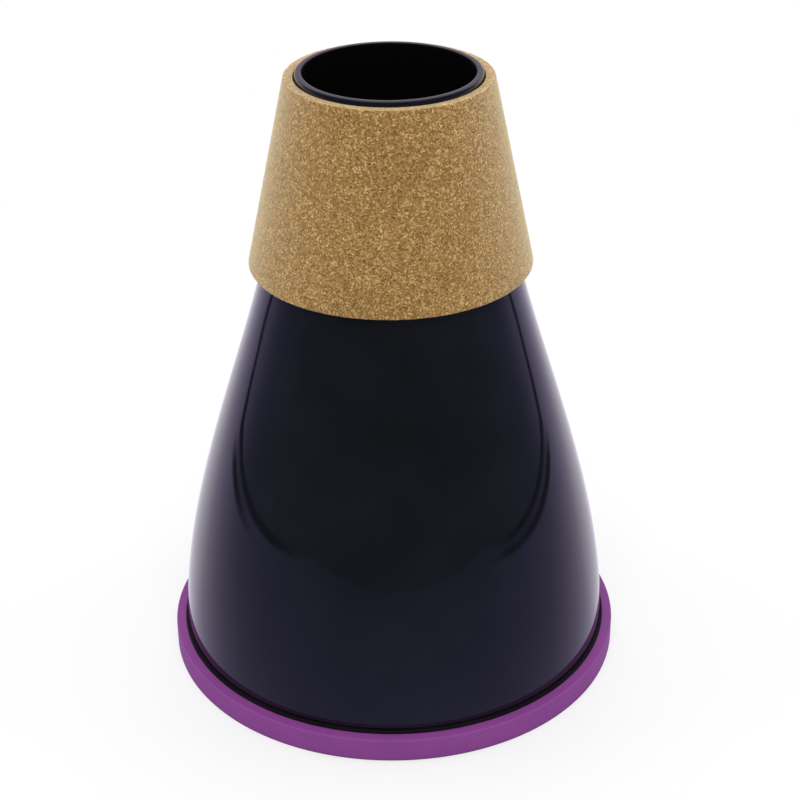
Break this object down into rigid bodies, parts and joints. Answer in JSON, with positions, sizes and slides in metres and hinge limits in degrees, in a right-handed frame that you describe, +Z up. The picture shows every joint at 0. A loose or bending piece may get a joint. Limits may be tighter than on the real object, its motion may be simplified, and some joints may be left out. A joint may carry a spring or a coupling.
{
  "type": "trumpet practice mute",
  "caption": "Practice mute for a trumpet bell: a flared gloss black shell with a cork collar round its throat, standing on a purple base cap with a rubber seal.",
  "frame": {"origin": "centre of the foot ring, on the surface that the mute stands on", "axes": "+Z up along the mute's axis, from the base cap to the open throat; the part is round, so X and Y only fix the turn of the nut and of the holes"},
  "size_m": [0.104, 0.104, 0.1389],
  "materials": {
    "gloss_black_abs": "gloss",
    "cork": "matte",
    "purple_plastic": "satin",
    "seal_rubber": "matte",
    "natural_nylon": "satin",
    "satin_black_plastic": "satin",
    "charcoal_foam": "matte"
  },
  "bodies": {
    "base": {"base_cap": "purple_plastic", "seal_ring": "seal_rubber", "bleed_tube": "natural_nylon", "tube_nut": "satin_black_plastic", "tube_cap": "satin_black_plastic", "baffle_disc": "satin_black_plastic", "lower_foam_ring": "charcoal_foam", "upper_foam_ring": "charcoal_foam"},
    "top": {"shell": "gloss_black_abs", "cork_collar": "cork"}
  },
  "joints": [
    {"name": "shell_lift", "type": "slide", "parent": "base", "child": "top", "axis": [0, 0, 1], "range_m": [0, 0.075]}
  ]
}
